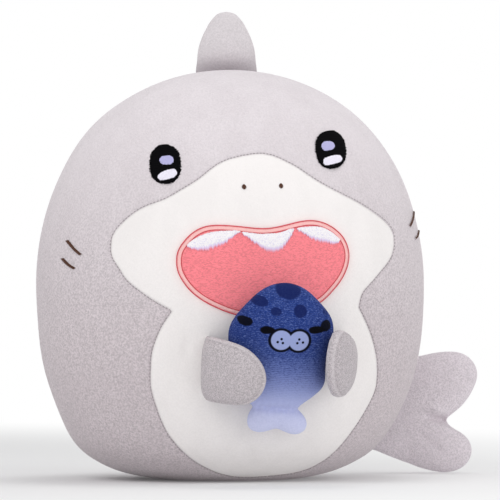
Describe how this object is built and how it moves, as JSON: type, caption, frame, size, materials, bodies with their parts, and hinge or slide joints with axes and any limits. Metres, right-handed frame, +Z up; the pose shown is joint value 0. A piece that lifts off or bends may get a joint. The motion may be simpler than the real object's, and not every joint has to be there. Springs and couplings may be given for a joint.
{
  "type": "plush shark",
  "caption": "Rounded plush shark cushion that stands on a flat base, with a stitched open mouth, dorsal fin, forked tail and flippers that hug a small removable plush seal.",
  "frame": {"origin": "centre of the flat base, on the surface the toy sits on", "axes": "+Z up, -Y the way the face looks, +X towards the shark's left side, where the tail points"},
  "size_m": [0.3034, 0.2591, 0.2992],
  "materials": {
    "plush_grey": "short-pile plush, light warm grey",
    "plush_white": "short-pile plush, off white",
    "mouth_coral": "short-pile plush applique, coral",
    "thread_coral": "satin stitch, coral red",
    "thread_white": "satin stitch, white",
    "thread_lavender": "satin stitch, pale lavender",
    "thread_black": "satin stitch, black",
    "thread_brown": "satin stitch, dark brown",
    "seal_print": "printed short-pile plush, blue fading to lavender",
    "stuffing": "polyester fibre filling",
    "label_satin": "white satin ribbon"
  },
  "bodies": {
    "body": {"front_shell": "plush_grey", "back_shell": "plush_grey", "face_belly_panel": "plush_white", "body_stuffing": "stuffing", "mouth_patch": "mouth_coral", "mouth_stitch_outer": "thread_coral", "mouth_stitch_inner": "thread_coral", "tooth_right": "thread_white", "tooth_middle": "thread_white", "tooth_left": "thread_white", "eye_right": "thread_black", "eye_left": "thread_black", "eye_glint_right_upper": "thread_lavender", "eye_glint_right_lower": "thread_white", "eye_glint_left_upper": "thread_lavender", "eye_glint_left_lower": "thread_white", "nostrils": "thread_brown", "gills_right": "thread_brown", "gills_left": "thread_brown", "care_label": "label_satin"},
    "dorsal_fin": {"fin_front_panel": "plush_grey", "fin_back_panel": "plush_grey", "fin_stuffing": "stuffing"},
    "right_flipper": {"right_flipper_outer": "plush_grey", "right_flipper_inner": "plush_grey", "right_flipper_stuffing": "stuffing"},
    "left_flipper": {"left_flipper_outer": "plush_grey", "left_flipper_inner": "plush_grey", "left_flipper_stuffing": "stuffing"},
    "tail": {"tail_front_panel": "plush_grey", "tail_back_panel": "plush_grey", "tail_stuffing": "stuffing"},
    "seal": {"seal_front_panel": "seal_print", "seal_back_panel": "seal_print", "seal_stuffing": "stuffing"}
  },
  "joints": [
    {"name": "dorsal_fin_bend", "type": "hinge", "parent": "body", "child": "dorsal_fin", "pos_m": [0, 0.014, 0.2612], "axis": [1, 0, 0], "range_deg": [-20, 20], "stiffness_Nm_per_rad": 0.02},
    {"name": "right_flipper_open", "type": "hinge", "parent": "body", "child": "right_flipper", "pos_m": [-0.0396, -0.10563, 0.07229], "axis": [0, 0.1908, -0.9816], "range_deg": [0, 70], "stiffness_Nm_per_rad": 0.02},
    {"name": "left_flipper_open", "type": "hinge", "parent": "body", "child": "left_flipper", "pos_m": [0.054, -0.10112, 0.07317], "axis": [0, -0.1908, 0.9816], "range_deg": [0, 70], "stiffness_Nm_per_rad": 0.02},
    {"name": "tail_swing", "type": "hinge", "parent": "body", "child": "tail", "pos_m": [0.0978, 0.0722, 0.05], "axis": [0, 0, 1], "range_deg": [-25, 45], "stiffness_Nm_per_rad": 0.05},
    {"name": "seal_lift", "type": "slide", "parent": "body", "child": "seal", "axis": [0, -0.1908, 0.9816], "range_m": [0, 0.1]}
  ]
}
